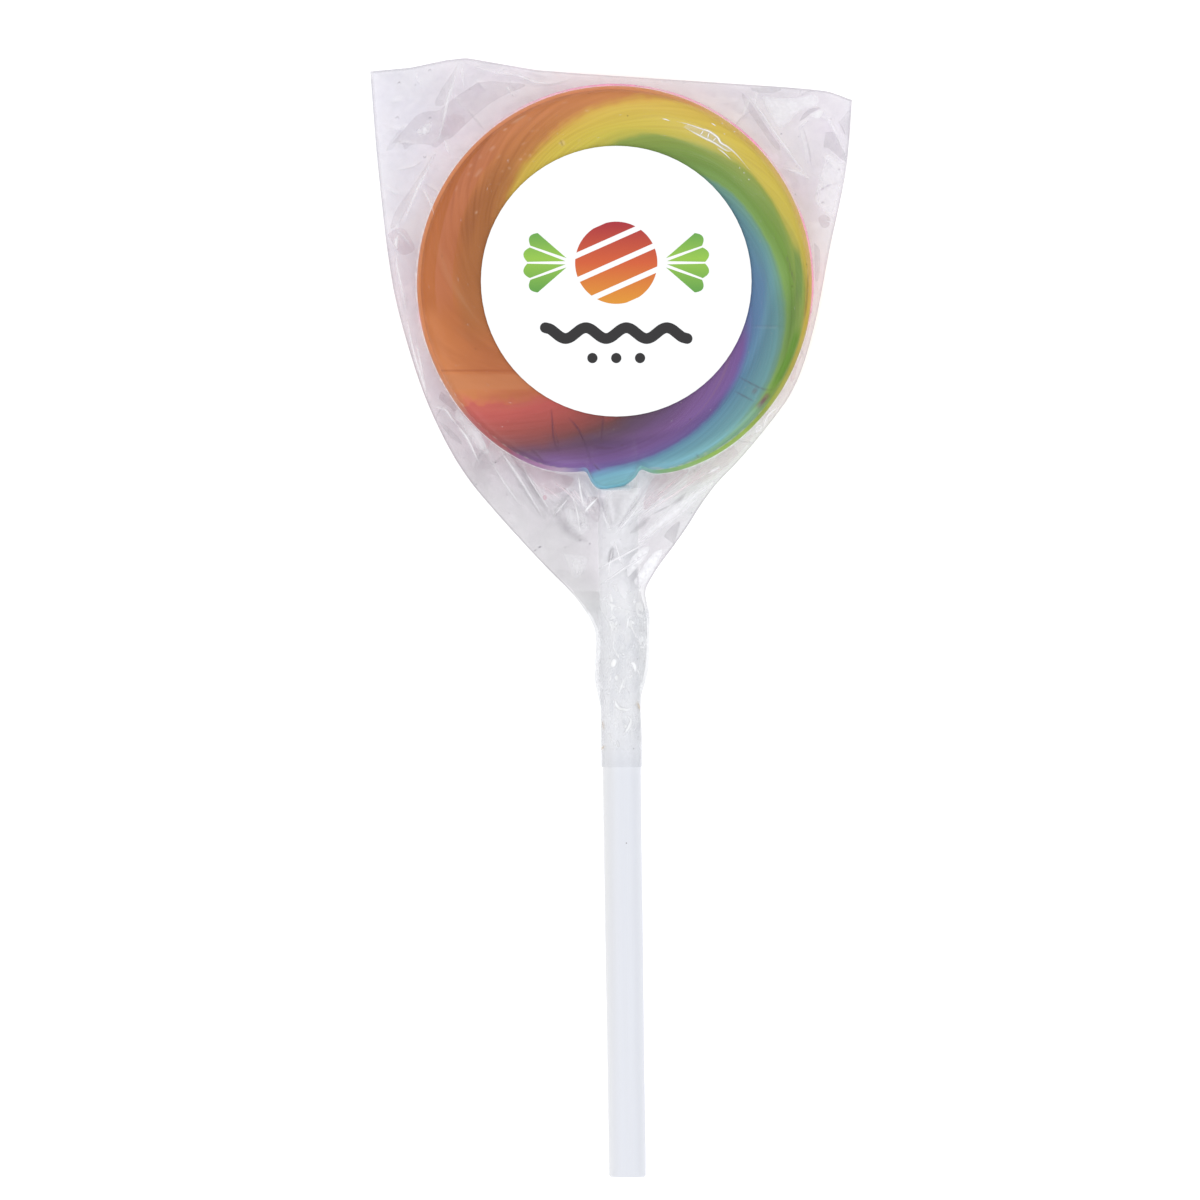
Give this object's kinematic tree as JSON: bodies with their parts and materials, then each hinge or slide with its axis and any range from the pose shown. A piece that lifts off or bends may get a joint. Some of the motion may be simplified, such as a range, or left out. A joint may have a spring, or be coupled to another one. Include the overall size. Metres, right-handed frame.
{
  "type": "swirl lollipop",
  "caption": "Round rainbow-swirl hard candy on a white plastic stick, in a clear film bag taped round the stick, with a round label; it lies on its back.",
  "frame": {"origin": "middle of the candy's back, on the surface that the bag rests on", "axes": "+Y towards the bag's closed end with the stick along -Y, +Z out of the labelled front, +X to the right when the front is seen with the stick down"},
  "size_m": [0.0893, 0.2073, 0.0114],
  "materials": {
    "candy": "hard boiled sugar in a swirl of orange, yellow, green, blue, purple and red, glossy",
    "stick": "white moulded plastic, satin",
    "label": null,
    "film": "clear wrapping film, creased",
    "tape": "clear adhesive tape over crumpled film"
  },
  "bodies": {
    "root": {"candy": "candy", "stick": "stick", "label": "label", "bag": "film", "tape": "tape"}
  },
  "joints": []
}
